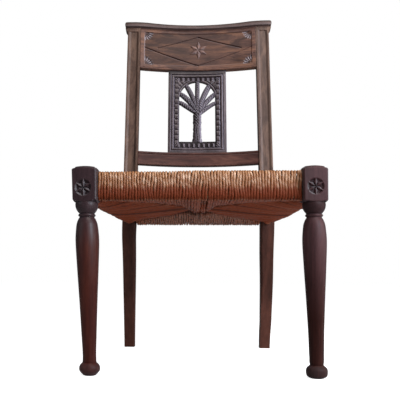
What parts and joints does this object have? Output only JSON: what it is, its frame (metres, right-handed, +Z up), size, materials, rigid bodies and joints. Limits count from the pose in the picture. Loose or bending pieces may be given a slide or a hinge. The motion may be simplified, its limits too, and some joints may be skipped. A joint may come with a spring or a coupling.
{
  "type": "rush seated side chair",
  "caption": "Side chair with turned front legs, splayed rear legs, woven rush seat and a raked back with a pierced palm-tree splat.",
  "frame": {"origin": "on the floor under the middle of the chair's box", "axes": "+Z up, the front faces -Y, +X to the right when seen from the front"},
  "size_m": [0.5282, 0.539, 0.9505],
  "materials": {
    "dark_wood": "dark stained and waxed, satin",
    "red_wood": "dark reddish stain, satin",
    "brown_wood": "mid brown stain, worn satin",
    "splat_wood": "dark stained carving, satin",
    "plain_wood": "unfinished",
    "rush": "twisted rush cord, honey to russet, slightly glossy",
    "stuffing": "dry rush leaves"
  },
  "bodies": {
    "root": {"front_leg_left": "dark_wood", "front_leg_right": "dark_wood", "rear_leg_left": "brown_wood", "rear_leg_right": "brown_wood", "seat_rail_front": "plain_wood", "seat_rail_rear": "plain_wood", "seat_rail_left": "plain_wood", "seat_rail_right": "plain_wood", "lower_back_rail": "brown_wood", "splat": "splat_wood", "crest_rail": "brown_wood", "crest_cap": "brown_wood", "rush_seat": "rush", "rush_wad_front": "stuffing", "rush_wad_rear": "stuffing", "rush_wad_left": "stuffing", "rush_wad_right": "stuffing"}
  },
  "joints": []
}
